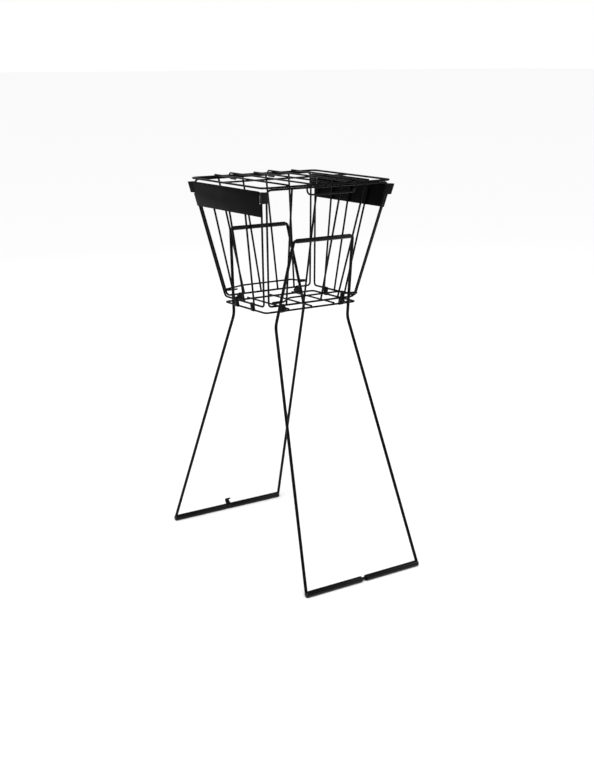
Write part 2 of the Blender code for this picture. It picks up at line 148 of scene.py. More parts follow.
def per_metre(millimetres: float) -> float:
    """The scale of a noise pattern.

    Args:
        millimetres: how far across its features are.

    Returns:
        The scale that a noise node takes.
    """
    return 1 / (millimetres * MM)


def add_node(
    tree: bpy.types.NodeTree,
    kind: str,
    sets: dict[str | int, object],
    links: dict[str, bpy.types.NodeSocket],
) -> bpy.types.Node:
    """Adds a node to a material.

    Args:
        tree: the material's node tree.
        kind: the node's type.
        sets: values by the name of an input or of a property of the node.
        links: for an input's name, the output socket that feeds it.

    Returns:
        The new node.
    """
    node = tree.nodes.new(kind)
    for name, value in sets.items():
        if isinstance(name, str) and hasattr(node, name):
            setattr(node, name, value)
        else:
            node.inputs[name].default_value = value
    for name, socket in links.items():
        tree.links.new(socket, node.inputs[name])
    return node


@dataclass(frozen=True)
class Finish:
    """A surface: its colour, gloss and grain, each grain given by its size in millimetres."""

    name: str
    slot: str
    colour: str
    worn_colour: str
    roughness: float
    roughness_spread: float
    grain_mm: float
    grain_depth_mm: float
    cloud_mm: float
    wear: float
    specular: float

    def material(self) -> bpy.types.Material:
        """Builds the material's nodes on the piece's own coordinates.

        Returns:
            The material.
        """
        made = bpy.data.materials.new(self.name)
        made.use_nodes = True
        made.diffuse_color = linear(self.colour)
        tree = made.node_tree
        shader = tree.nodes["Principled BSDF"]
        place = add_node(tree, "ShaderNodeTexCoord", {}, {}).outputs["Object"]
        cloud = add_node(
            tree,
            "ShaderNodeTexNoise",
            {"Scale": per_metre(self.cloud_mm), "Detail": 4.0, "Roughness": 0.6},
            {"Vector": place},
        ).outputs["Fac"]
        grain = add_node(
            tree,
            "ShaderNodeTexNoise",
            {"Scale": per_metre(self.grain_mm), "Detail": 2.0, "Roughness": 0.5},
            {"Vector": place},
        ).outputs["Fac"]
        worn = add_node(
            tree,
            "ShaderNodeMapRange",
            {"From Min": 0.62, "From Max": 0.78, "To Min": 0.0, "To Max": self.wear},
            {"Value": cloud},
        ).outputs["Result"]
        colour = add_node(
            tree,
            "ShaderNodeMix",
            {
                "data_type": "RGBA",
                MIX_FROM: linear(self.colour),
                MIX_TO: linear(self.worn_colour),
            },
            {"Factor": worn},
        )
        tree.links.new(colour.outputs[MIX_RESULT], shader.inputs["Base Color"])
        rough = add_node(
            tree,
            "ShaderNodeMapRange",
            {
                "From Min": 0.3,
                "From Max": 0.7,
                "To Min": self.roughness - self.roughness_spread,
                "To Max": self.roughness + self.roughness_spread,
            },
            {"Value": cloud},
        )
        tree.links.new(rough.outputs["Result"], shader.inputs["Roughness"])
        bump = add_node(
            tree,
            "ShaderNodeBump",
            {"Strength": 1.0, "Distance": self.grain_depth_mm * MM},
            {"Height": grain},
        )
        tree.links.new(bump.outputs["Normal"], shader.inputs["Normal"])
        shader.inputs["Specular IOR Level"].default_value = self.specular
        return made


POWDER_COAT = Finish(
    # Polyester powder baked on drawn steel wire: satin black with a soft orange peel
    name="powder_coated_steel_wire",
    slot="coated_wire",
    colour="#020203",
    worn_colour="#0a0a0b",
    roughness=0.32,
    roughness_spread=0.07,
    grain_mm=1.1,
    grain_depth_mm=0.05,
    cloud_mm=38,
    wear=0.5,
    specular=0.09,
)
BAND_PAINT = Finish(
    # Crimped strip steel under the same paint, with the press tool's marks
    name="painted_crimped_steel",
    slot="steel_band",
    colour="#020203",
    worn_colour="#0b0b0c",
    roughness=0.48,
    roughness_spread=0.09,
    grain_mm=0.8,
    grain_depth_mm=0.06,
    cloud_mm=9,
    wear=0.7,
    specular=0.1,
)
SHEET_PAINT = Finish(
    # Roller-painted sheet steel: nearly smooth, with a long shallow ripple
    name="painted_sheet_steel",
    slot="plate_sheet",
    colour="#010102",
    worn_colour="#060607",
    roughness=0.5,
    roughness_spread=0.06,
    grain_mm=2.2,
    grain_depth_mm=0.03,
    cloud_mm=60,
    wear=0.4,
    specular=0.05,
)
NYLON = Finish(
    # Moulded glass-filled nylon: dull black with a fine eroded mould grain
    name="moulded_nylon",
    slot="moulding",
    colour="#080809",
    worn_colour="#141415",
    roughness=0.55,
    roughness_spread=0.08,
    grain_mm=0.6,
    grain_depth_mm=0.05,
    cloud_mm=11,
    wear=0.5,
    specular=0.15,
)
VINYL = Finish(
    # Extruded soft vinyl tube: warm black with a low sheen, rubbed grey where it is handled
    name="extruded_vinyl_sleeve",
    slot="sleeve_vinyl",
    colour="#040303",
    worn_colour="#141110",
    roughness=0.30,
    roughness_spread=0.08,
    grain_mm=1.4,
    grain_depth_mm=0.07,
    cloud_mm=22,
    wear=0.7,
    specular=0.16,
)


class Paintbox:
    """Builds each finish once and hands it out."""

    def __init__(self) -> None:
        """Starts with no finish built."""
        self.built: dict[str, bpy.types.Material] = {}

    def get(self, finish: Finish) -> bpy.types.Material:
        """The material of a finish, the same one each time."""
        if finish.name not in self.built:
            self.built[finish.name] = finish.material()
        return self.built[finish.name]


PAINTBOX = Paintbox()


def rounded(
    corners: Iterable[Sequence[float]], bends: float | Sequence[float], closed: bool
) -> list[Vector]:
    """Rounds the corners of a path to their bend radii.

    Args:
        corners: the corners, in order.
        bends: one bend radius, or one for each corner.
        closed: whether the last corner joins the first.

    Returns:
        The points of the path.
    """
    places = [Vector(corner) for corner in corners]
    radii = list(bends) if isinstance(bends, (list, tuple)) else [bends] * len(places)
    path: list[Vector] = []
    for i, corner in enumerate(places):
        if not closed and i in (0, len(places) - 1):
            path.append(corner)
            continue
        before = places[i - 1] - corner
        after = places[(i + 1) % len(places)] - corner
        half = before.angle(after) / 2
        turn = math.pi - 2 * half
        if turn < STRAIGHT or radii[i] <= 0:
            path.append(corner)
            continue
        most = min(before.length, after.length) * BEND_SHARE * math.tan(half)
        bend = min(radii[i], most)
        to_before, to_after = before.normalized(), after.normalized()
        centre = corner + (to_before + to_after).normalized() * bend / math.sin(half)
        start = corner + to_before * bend / math.tan(half) - centre
        axis = start.cross(corner - centre).normalized()
        steps = max(2, math.ceil(turn / ARC_STEP))
        for k in range(steps + 1):
            path.append(centre + Matrix.Rotation(turn * k / steps, 3, axis) @ start)
    return path


def rectangle(half_x: float, half_y: float, height: float, bend: float) -> list[Vector]:
    """A level rectangle with round corners.

    Args:
        half_x: half its length along X.
        half_y: half its length along Y.
        height: its height above the floor.
        bend: the bend radius of its corners.

    Returns:
        The points of its closed path.
    """
    signs = ((-1, -1), (1, -1), (1, 1), (-1, 1))
    return rounded([(x * half_x, y * half_y, height) for x, y in signs], bend, closed=True)


def mirrored(path: Sequence[Vector]) -> list[Vector]:
    """A path's mirror image in X, run backwards, so that it joins on to the path.

    Args:
        path: the points on one side.

    Returns:
        The points on the other side.
    """
    return [Vector((-place.x, place.y, place.z)) for place in reversed(path)]


def directions(path: Sequence[Vector], closed: bool) -> list[Vector]:
    """The way the wire runs at each point of its path.

    Args:
        path: the points.
        closed: whether the last joins the first.

    Returns:
        One unit vector for each point.
    """
    count = len(path)
    found = []
    for i in range(count):
        before = path[i] - path[i - 1] if closed or i else path[1] - path[0]
        after = path[(i + 1) % count] - path[i] if closed or i < count - 1 else before
        found.append((before.normalized() + after.normalized()).normalized())
    return found


def round_edges(
    shape: BMesh,
    edges: Sequence[BMEdge],
    radius: float,
    segments: int = 2,
) -> None:
    """Rounds some edges of a mesh.

    Args:
        shape: the mesh.
        edges: the edges, all of them in that mesh.
        radius: how far the rounding reaches from each edge.
        segments: how many steps each rounded edge has.
    """
    bmesh.ops.bevel(
        shape,
        geom=edges,
        offset=radius,
        segments=segments,
        profile=0.5,
        affect="EDGES",
        material=-1,
    )


def pour(scratch: BMesh, shape: BMesh) -> None:
    """Adds a scratch mesh to a piece's mesh and frees it.

    Args:
        scratch: the mesh that is added.
        shape: the mesh that it goes into.
    """
    mesh = bpy.data.meshes.new("scratch")
    scratch.to_mesh(mesh)
    scratch.free()
    shape.from_mesh(mesh)
    bpy.data.meshes.remove(mesh)


def draw_wire(
    shape: BMesh,
    path: Sequence[Vector],
    diameter: float,
    closed: bool = False,
    sides: int = ROUND,
) -> None:
    """Draws a round wire by extruding a circle along a path.

    Args:
        shape: the mesh that it goes into.
        path: the wire's centre line.
        diameter: the wire's diameter.
        closed: whether the ends are welded together.
        sides: how many sides the wire has.
    """
    runs = directions(path, closed)
    turn = Z.rotation_difference(runs[0]).to_matrix().to_4x4()
    made = bmesh.ops.create_circle(
        shape, segments=sides, radius=diameter / 2, matrix=Matrix.Translation(path[0]) @ turn
    )
    first = list(dict.fromkeys(edge for vert in made["verts"] for edge in vert.link_edges))
    edges = first
    for i in range(1, len(path)):
        made = bmesh.ops.extrude_edge_only(shape, edges=edges)
        verts = [item for item in made["geom"] if isinstance(item, BMVert)]
        edges = [item for item in made["geom"] if isinstance(item, BMEdge)]
        bend = runs[i - 1].rotation_difference(runs[i]).to_matrix()
        bmesh.ops.rotate(shape, verts=verts, cent=path[i - 1], matrix=bend)
        bmesh.ops.translate(shape, verts=verts, vec=path[i] - path[i - 1])
    if closed:
        bmesh.ops.bridge_loops(shape, edges=first + edges)
        return
    for rim in (first, edges):
        bmesh.ops.contextual_create(shape, geom=rim)
    round_edges(shape, first + edges, diameter * END_ROUND)


def draw_weld(shape: BMesh, place: Vector, radii: Sequence[float]) -> None:
    """Draws the bead that a resistance weld leaves where two wires meet.

    Args:
        shape: the mesh that it goes into.
        place: the middle of the bead.
        radii: half its size along X, Y and Z.
    """
    size = Matrix.Diagonal((*radii, 1))
    bmesh.ops.create_uvsphere(
        shape, u_segments=12, v_segments=8, radius=1, matrix=Matrix.Translation(place) @ size
    )


def draw_hull(
    shape: BMesh, points: Iterable[Vector], edge_round: float, segments: int = 2
) -> None:
    """Draws the convex body round some points and rounds its sharp edges.

    Args:
        shape: the mesh that it goes into.
        points: the points.
        edge_round: the radius of its edges.
        segments: how many steps each rounded edge has.
    """
    scratch = bmesh.new()
    for point in points:
        scratch.verts.new(point)
    made = bmesh.ops.convex_hull(scratch, input=scratch.verts)
    spare = set(made["geom_interior"]) | set(made["geom_unused"])
    loose = [item for item in spare if isinstance(item, BMVert)]
    bmesh.ops.delete(scratch, geom=loose)
    bmesh.ops.dissolve_limit(
        scratch, angle_limit=STRAIGHT, verts=scratch.verts, edges=scratch.edges
    )
    sharp = [edge for edge in scratch.edges if edge.calc_face_angle(0) > HULL_EDGE]
    round_edges(scratch, sharp, edge_round, segments)
    bmesh.ops.recalc_face_normals(scratch, faces=scratch.faces)
    pour(scratch, shape)


def circle_points(centre: Vector, first: Vector, second: Vector, radius: float) -> list[Vector]:
    """Points of a circle.

    Args:
        centre: its middle.
        first: a unit vector in its plane.
        second: the unit vector square to the first.
        radius: its radius.

    Returns:
        The points.
    """
    angles = [FULL_TURN * i / CIRCLE_POINTS for i in range(CIRCLE_POINTS)]
    return [centre + radius * (math.cos(a) * first + math.sin(a) * second) for a in angles]


def link(obj: bpy.types.Object) -> None:
    """Puts an object in the scene."""
    bpy.context.scene.collection.objects.link(obj)


def finish_piece(
    name: str,
    draw: Callable[[BMesh], None],
    finish: Finish,
    body: str,
    node: str,
) -> None:
    """Makes a piece from a drawing and reports it to the frame.

    Args:
        name: the piece's name.
        draw: a function that draws it into a mesh.
        finish: its surface.
        body: the body it moves with.
        node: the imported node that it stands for.
    """
    shape = bmesh.new()
    draw(shape)
    bmesh.ops.recalc_face_normals(shape, faces=shape.faces)
    mesh = bpy.data.meshes.new(name)
    shape.to_mesh(mesh)
    shape.free()
    mesh.shade_smooth()
    mesh.set_sharp_from_angle(angle=PIECE_EDGE)
    mesh.materials.append(PAINTBOX.get(finish))
    obj = bpy.data.objects.new(name, mesh)
    link(obj)
    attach(obj, body)
    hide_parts(node)
    log.info("%s: %d faces on %s", name, len(mesh.polygons), body)


@dataclass(frozen=True)
class BasketShape:
    """The four leaning walls, measured between wire centres."""

    rim_height: float = 866.5 * MM
    depth: float = 262 * MM
    top_length: float = 325.5 * MM
    top_width: float = 296.5 * MM
    bottom_length: float = 233.5 * MM
    bottom_width: float = 172.5 * MM
    short_rim_drop: float = 5 * MM
    corner_gap_x: float = 8.6 * MM
    corner_gap_y: float = 6.2 * MM
    corner_bend: float = 10 * MM
    long_ribs: int = 4
    short_ribs: int = 3

    @property
    def bottom_height(self) -> float:
        """Height of the walls' bottom wires."""
        return self.rim_height - self.depth

    def top(self, side: Side) -> float:
        """Height of a wall's rim wire."""
        return self.rim_height - (self.short_rim_drop if side in SHORT_SIDES else 0)

    def half(self, low: float, high: float, z: float) -> float:
        """Half of a measure that grows evenly with the height.

        Args:
            low: the measure at the walls' bottom wires.
            high: the measure at the rim.
            z: the height that it is wanted at.

        Returns:
            Half of it at that height.
        """
        return (low + (high - low) * (z - self.bottom_height) / self.depth) / 2

    def half_length(self, z: float) -> float:
        """Half the distance between a long wall's uprights at height z."""
        return self.half(self.bottom_length, self.top_length, z)

    def half_width(self, z: float) -> float:
        """Half the distance between the long walls at height z."""
        return self.half(self.bottom_width, self.top_width, z)

    def edge(self, side: Side, share: float, z: float) -> Vector:
        """A point of a wall.

        Args:
            side: which wall.
            share: how far along it, from -1 to 1.
            z: the height.

        Returns:
            The point.
        """
        length, width = self.half_length(z), self.half_width(z)
        if side in LONG_SIDES:
            return Vector((share * length, side.sign * width, z))
        x = side.sign * (length + self.corner_gap_x)
        return Vector((x, share * (width - self.corner_gap_y), z))

    def rib_shares(self, side: Side) -> list[float]:
        """Where a wall's ribs stand.

        Args:
            side: which wall.

        Returns:
            Their places as shares of its half width.
        """
        count = self.long_ribs if side in LONG_SIDES else self.short_ribs
        return [2 * (i + 1) / (count + 1) - 1 for i in range(count)]

    def frame_path(self, side: Side) -> list[Vector]:
        """The closed centre line of a wall's frame wire."""
        low, high = self.bottom_height, self.top(side)
        corners = [
            self.edge(side, share, z) for share, z in ((-1, low), (1, low), (1, high), (-1, high))
        ]
        return rounded(corners, self.corner_bend, closed=True)


BASKET = BasketShape()


@dataclass
class WallPanel:
    """One wall: a closed frame wire with ribs welded between its bottom wire and its rim."""

    side: Side
    bead: float = 1.15
    bead_height: float = 0.8

    def draw(self, shape: BMesh) -> None:
        """Draws the frame wire, the ribs and their welds."""
        draw_wire(shape, BASKET.frame_path(self.side), WIRES.frame, closed=True)
        low, high = BASKET.bottom_height, BASKET.top(self.side)
        radius = WIRES.rib / 2 * self.bead
        for share in BASKET.rib_shares(self.side):
            ends = [BASKET.edge(self.side, share, z) for z in (low, high)]
            draw_wire(shape, ends, WIRES.rib)
            inward = (ends[1] - ends[0]).normalized() * WIRES.frame / 2
            for place in (ends[0] + inward, ends[1] - inward):
                draw_weld(shape, place, (radius, radius, radius * self.bead_height))

    def build(self) -> None:
        """Makes the wall in its finish."""
        name = f"{self.side.word}_wall_wires"
        finish_piece(name, self.draw, POWDER_COAT, "basket", f"{self.side.word}_panel")


@dataclass
class CornerClip:
    """A crimped band that holds two neighbouring walls' uprights together."""

    long_side: Side
    short_side: Side
    wall: float = 1.5 * MM
    height: float = 24 * MM
    drop: float = 4 * MM
    nose_x: float = 9 * MM
    nose_y: float = 7 * MM
    nose_radius: float = 2 * MM
    edge_round: float = 0.9 * MM

    @property
    def top(self) -> float:
        """Height of the band's upper edge."""
        return BASKET.rim_height - self.drop

    def draw(self, shape: BMesh) -> None:
        """Draws the band round the two wires, with its nose standing out at the corner."""
        radius = WIRES.frame / 2 + self.wall
        nose = X * self.short_side.sign * self.nose_x + Y * self.long_side.sign * self.nose_y
        points: list[Vector] = []
        for z in (self.top - self.height, self.top):
            long_wire = BASKET.edge(self.long_side, self.short_side.sign, z)
            short_wire = BASKET.edge(self.short_side, self.long_side.sign, z)
            for centre in (long_wire, short_wire):
                points += circle_points(centre, X, Y, radius)
            points += circle_points((long_wire + short_wire) / 2 + nose, X, Y, self.nose_radius)
        draw_hull(shape, points, self.edge_round, segments=3)

    def build(self) -> None:
        """Makes the clip in its finish."""
        where = f"{self.long_side.word}_{self.short_side.word}"
        finish_piece(
            f"{where}_corner_band", self.draw, BAND_PAINT, "basket", f"{where}_corner_clip"
        )


@dataclass
class SidePlate:
    """A bare sheet plate on the outside of a short wall."""

    side: Side
    height: float = 52 * MM
    thickness: float = 1.5 * MM
    edge_round: float = 0.45 * MM

    def draw(self, shape: BMesh) -> None:
        """Draws the sheet parallel to the wall, notched under and beside the corner clips."""
        top = BASKET.top(self.side)
        low_point = BASKET.edge(self.side, 0, BASKET.bottom_height)
        lean = (BASKET.edge(self.side, 0, top) - low_point).normalized()
        out = Y.cross(lean).normalized()
        out = out if out.x * self.side.sign > 0 else -out
        inner = WIRES.frame / 2 + WIRES.gap
        beside = -(inner + WIRES.gap)
        clip = CornerClip(Side.FRONT, self.side)
        under = clip.top - clip.height - WIRES.gap
        half = [
            (top - self.height, WIRES.frame / 2),
            (under, WIRES.frame / 2),
            (under, beside),
            (top, beside),
        ]
        outline = [
            BASKET.edge(self.side, share, z) + Y * share * past + out * inner
            for share, run in ((1, half), (-1, half[::-1]))
            for z, past in run
        ]
        face = shape.faces.new([shape.verts.new(place) for place in outline])
        made = bmesh.ops.extrude_face_region(shape, geom=[face], use_keep_orig=True)
        moved = [item for item in made["geom"] if isinstance(item, BMVert)]
        bmesh.ops.translate(shape, verts=moved, vec=out * self.thickness)
        round_edges(shape, list(shape.edges), self.edge_round)

    def build(self) -> None:
        """Makes the plate in its finish."""
        name = f"{self.side.word}_sheet_plate"
        finish_piece(name, self.draw, SHEET_PAINT, "basket", f"{self.side.word}_plate")


@dataclass
class BottomGrid:
    """The closed ring under the walls with three bars welded across its top."""

    drop: float = 13.5 * MM
    inset_x: float = 1.85 * MM
    inset_y: float = 2.75 * MM
    bend: float = 8 * MM
    bars: int = 3
    pitch: float = 62.5 * MM
    bead: tuple[float, float, float] = (0.62, 0.5, 0.4)  # shares of the wires' diameters

    @property
    def height(self) -> float:
        """Height of the ring's wire."""
        return BASKET.bottom_height - self.drop

    @property
    def half_x(self) -> float:
        """Half the ring's length."""
        return BASKET.bottom_length / 2 + BASKET.corner_gap_x - self.inset_x

    @property
    def half_y(self) -> float:
        """Half the ring's width."""
        return BASKET.bottom_width / 2 - self.inset_y

    def draw(self, shape: BMesh) -> None:
        """Draws the ring, the bars and their welds."""
        ring = rectangle(self.half_x, self.half_y, self.height, self.bend)
        draw_wire(shape, ring, WIRES.ring, closed=True)
        across, along, tall = self.bead
        bead = (WIRES.grid * across, WIRES.ring * along, WIRES.grid * tall)
        level = self.height + (WIRES.ring + WIRES.grid) / 2 - WIRES.sink
        reach = self.half_y + WIRES.ring / 4
        for i in range(self.bars):
            x = self.pitch * (i - (self.bars - 1) / 2)
            draw_wire(shape, [Vector((x, -reach, level)), Vector((x, reach, level))], WIRES.grid)
            for y in (-self.half_y, self.half_y):
                place = Vector((x, y, (level + self.height) / 2))
                draw_weld(shape, place, bead)

    def build(self) -> None:
        """Makes the grid in its finish."""
        finish_piece("bottom_grid_wires", self.draw, POWDER_COAT, "basket", "bottom_grid")


GRID = BottomGrid()


@dataclass
class RingClip:
    """A short band round a short wall's bottom wire and the ring, beside the wall's outer rib."""

    long_side: Side
    short_side: Side
    width: float = 9.5 * MM
    wall: float = 1.2 * MM
    edge_round: float = 0.6 * MM

    def draw(self, shape: BMesh) -> None:
        """Draws the band on the inner side of the wall's outer rib."""
        share = BASKET.rib_shares(self.short_side)[-1] * self.long_side.sign
        wall_wire = BASKET.edge(self.short_side, share, BASKET.bottom_height)
        wall_wire -= Y * self.long_side.sign * (self.width + WIRES.rib + WIRES.gap) / 2
        ring_wire = Vector((self.short_side.sign * GRID.half_x, wall_wire.y, GRID.height))
        points: list[Vector] = []
        for centre, wire in ((wall_wire, WIRES.frame), (ring_wire, WIRES.ring)):
            for end in (-1, 1):
                middle = centre + Y * end * self.width / 2
                points += circle_points(middle, X, Z, wire / 2 + self.wall)
        draw_hull(shape, points, self.edge_round)

    def build(self) -> None:
        """Makes the clip in its finish."""
        where = f"{self.long_side.word}_{self.short_side.word}"
        finish_piece(f"{where}_ring_band", self.draw, BAND_PAINT, "basket", f"{where}_ring_clip")


@dataclass
class HingeBlock:
    """A moulded block clamped on a long wall's bottom wire and the ring, round a leg's pin."""

    long_side: Side
    short_side: Side
    pin: Vector
    width: float = 9 * MM
    wall: float = 1 * MM
    spread: float = 80.7 * MM
    edge_round: float = 0.6 * MM

    def draw(self, shape: BMesh) -> None:
        """Draws the block round its two wires and the pin."""
        sign = self.long_side.sign
        wall_wire = BASKET.edge(self.long_side, 0, BASKET.bottom_height)
        ring_wire = Vector((0, sign * GRID.half_y, GRID.height))
        held = ((wall_wire, WIRES.frame), (ring_wire, WIRES.ring), (self.pin, WIRES.pin))
        points: list[Vector] = []
        for centre, wire in held:
            for end in (-1, 1):
                x = self.short_side.sign * self.spread + end * self.width / 2
                middle = Vector((x, centre.y, centre.z))
                points += circle_points(middle, Y, Z, wire / 2 + self.wall)
        draw_hull(shape, points, self.edge_round, segments=3)

    def build(self) -> None:
        """Makes the block in its finish."""
        where = f"{self.long_side.word}_{self.short_side.word}"
        finish_piece(f"{where}_leg_block", self.draw, NYLON, "basket", f"{where}_hinge_block")


@dataclass
class Leg:
    """A bent wire leg frame with its hinge pins, brace, crossbar sleeve and foot sleeves."""

    side: Side
    pin: Vector
    crossbar_drop: float = 115.5 * MM
    crossbar_length: float = 158.4 * MM
    crossbar_sleeve: float = 10 * MM
    knee_drop: float = 36 * MM
    knee_span: float = 198 * MM
    knee_bend: float = 35 * MM
    foot_length: float = 312 * MM
    foot_reach: float = 286 * MM
    foot_sleeve: float = 14 * MM
    foot_neck: float = 12.5 * MM
    foot_overhang: float = 1 * MM
    tight_bend: float = 6.5 * MM
    brace_rise: float = 27 * MM
    brace_tip_span: float = 228 * MM
    brace_end_span: float = 170 * MM
    brace_tip_drop: float = 7 * MM
    brace_straight_span: float = 138 * MM
    brace_rib_gap: float = 1.2 * MM
    brace_bulge: float = 1.6 * MM
    brace_inner_bend: float = 15 * MM
    brace_outer_bend: float = 12 * MM
    sleeve_round: float = 1.0 * MM
    cap_round: float = 2.4 * MM
    merge: float = 0.003 * MM
    wire_sides: int = 24
    pin_bead: tuple[float, float] = (0.3, 0.62)  # shares of the pin's diameter

    @property
    def body(self) -> str:
        """The body that the leg's pieces move with."""
        return f"{self.side.word}_leg"

    @property
    def crossbar(self) -> Vector:
        """The middle of the crossbar, whose sleeve leans on the wall's ribs."""
        height = BASKET.rim_height - self.crossbar_drop
        lean = math.atan2((BASKET.top_width - BASKET.bottom_width) / 2, BASKET.depth)
        off = (WIRES.rib / 2 + WIRES.gap + self.crossbar_sleeve / 2) / math.cos(lean)
        return Vector((0, self.side.sign * (BASKET.half_width(height) + off), height))

    def upper(self, z: float) -> tuple[float, float]:
        """Where the leg's straight upper part is.

        Args:
            z: the height.

        Returns:
            Half the leg's span and its Y at that height.
        """
        bar = self.crossbar
        knee = self.pin.z - self.knee_drop
        share = (bar.z - z) / (bar.z - knee)
        span = (self.crossbar_length + (self.knee_span - self.crossbar_length) * share) / 2
        slope = (bar.y - self.pin.y) / (bar.z - self.pin.z)
        return span, self.pin.y + slope * (z - self.pin.z)

    @property
    def foot(self) -> Vector:
        """The middle of the foot bar."""
        return Vector((0, self.side.sign * self.foot_reach, self.foot_sleeve / 2))

    def draw_frame(self, shape: BMesh) -> None:
        """Draws the bent wire and its two hinge pins."""
        knee = self.pin.z - self.knee_drop
        levels = [
            Vector((self.crossbar_length / 2, self.crossbar.y, self.crossbar.z)),
            Vector((self.knee_span / 2, self.upper(knee)[1], knee)),
            Vector((self.foot_length / 2, self.foot.y, self.foot.z)),
        ]
        bends = [self.tight_bend, self.knee_bend, self.tight_bend]
        path = rounded(levels + mirrored(levels), bends + bends[::-1], closed=True)
        draw_wire(shape, path, WIRES.leg, closed=True, sides=self.wire_sides)
        span = self.upper(self.pin.z)[0]
        block = HingeBlock(self.side, Side.RIGHT, self.pin)
        reach = block.spread - block.width / 2
        flat, wide = (WIRES.pin * share for share in self.pin_bead)
        for end in (-1, 1):
            ends = [self.pin + X * end * span, self.pin + X * end * reach]
            draw_wire(shape, ends, WIRES.pin)
            place = self.pin + X * end * (span - WIRES.leg / 2)
            draw_weld(shape, place, (flat, wide, wide))

    def draw_brace(self, shape: BMesh) -> None:
        """Draws the thin wire that runs before the ribs and hooks round both leg wires."""
        sign = self.side.sign
        height = self.pin.z + self.brace_rise
        tip_height = height - self.brace_tip_drop
        span, leg_y = self.upper(tip_height)
        off = (WIRES.leg + WIRES.brace) / 2 + WIRES.gap
        stand = (WIRES.rib + WIRES.brace) / 2 + self.brace_rib_gap
        inner = BASKET.half_width(height) + stand
        outer = off + self.brace_bulge
        tip, end = self.brace_tip_span / 2, self.brace_end_span / 2
        half = [
            Vector((self.brace_straight_span / 2, sign * inner, height)),
            Vector((span - off / 2, leg_y + sign * outer, tip_height + self.brace_tip_drop / 4)),
            Vector((tip, leg_y + sign * off, tip_height)),
            Vector((tip, leg_y - sign * off, tip_height)),
            Vector((end, leg_y - sign * off, tip_height)),
        ]
        bends = [self.brace_inner_bend, self.brace_outer_bend, off, off, 0.0]
        path = rounded(mirrored(half) + half, bends[::-1] + bends, closed=False)
        draw_wire(shape, path, WIRES.brace)

    def draw_sleeve(
        self,
        shape: BMesh,
        centre: Vector,
        ends: Sequence[float],
        diameter: float,
        capped: bool = False,
    ) -> None:
        """Draws a sleeve on a level wire by spinning half its section round the wire.

        Args:
            shape: the mesh that it goes into.
            centre: a point of the wire.
            ends: the X of its open mouth, then the X of its other end.
            diameter: its outer diameter.
            capped: whether the other end is closed, with a full round at its rim.
        """
        bore, radius = WIRES.leg / 2 + WIRES.gap, diameter / 2
        mouth, stop = ends
        way = math.copysign(1, stop - mouth)
        deep = mouth + way * radius
        near = self.rim(mouth, radius, self.sleeve_round, -way)
        if capped:
            far = self.rim(stop, radius, self.cap_round, way)[::-1]
            section = [(deep, 0.0), (deep, bore), (mouth, bore), *near, *far, (stop, 0.0)]
        else:
            far = self.rim(stop, radius, self.sleeve_round, way)[::-1]
            section = [(mouth, bore), *near, *far, (stop, bore)]
        verts = [shape.verts.new(centre + X * x + Z * r) for x, r in section]
        edges = [shape.edges.new(pair) for pair in zip(verts, verts[1:])]
        if not capped:
            edges.append(shape.edges.new((verts[-1], verts[0])))
        bmesh.ops.spin(
            shape,
            geom=verts + edges,
            cent=centre,
            axis=X,
            angle=FULL_TURN,
            steps=2 * ROUND,
            use_merge=True,
        )
        bmesh.ops.remove_doubles(shape, verts=shape.verts, dist=self.merge)

    @staticmethod
    def rim(end: float, radius: float, bend: float, way: float) -> list[tuple[float, float]]:
        """The rounded rim of a sleeve's end, from its face to its outside.

        Args:
            end: the X of the end's face.
            radius: the sleeve's outer radius.
            bend: the radius of the rim.
            way: which way the face looks along X.

        Returns:
            X and distance from the axis for each point.
        """
        turns = [math.pi / 2 * i / RIM_STEPS for i in range(RIM_STEPS + 1)]
        return [
            (end - way * bend * (1 - math.cos(a)), radius - bend * (1 - math.sin(a))) for a in turns
        ]

    def build(self) -> None:
        """Makes the leg's pieces in their finishes."""
        word = self.side.word
        for piece, draw, node in (
            ("leg_wire", self.draw_frame, "leg_frame"),
            ("brace_wire", self.draw_brace, "leg_brace"),
        ):
            finish_piece(f"{word}_{piece}", draw, POWDER_COAT, self.body, f"{word}_{node}")
        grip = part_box(f"{word}_crossbar_sleeve")
        tube = partial(
            self.draw_sleeve,
            centre=self.crossbar,
            ends=(grip[0][0], grip[1][0]),
            diameter=self.crossbar_sleeve,
        )
        finish_piece(f"{word}_crossbar_tube", tube, VINYL, self.body, f"{word}_crossbar_sleeve")
        for end in SHORT_SIDES:
            mouth = end.sign * self.foot_neck / 2
            stop = end.sign * (self.foot_length / 2 + self.foot_overhang)
            tube = partial(
                self.draw_sleeve,
                centre=self.foot,
                ends=(mouth, stop),
                diameter=self.foot_sleeve,
                capped=True,
            )
            where = f"{word}_{end.word}"
            finish_piece(f"{where}_foot_tube", tube, VINYL, self.body, f"{where}_foot_sleeve")


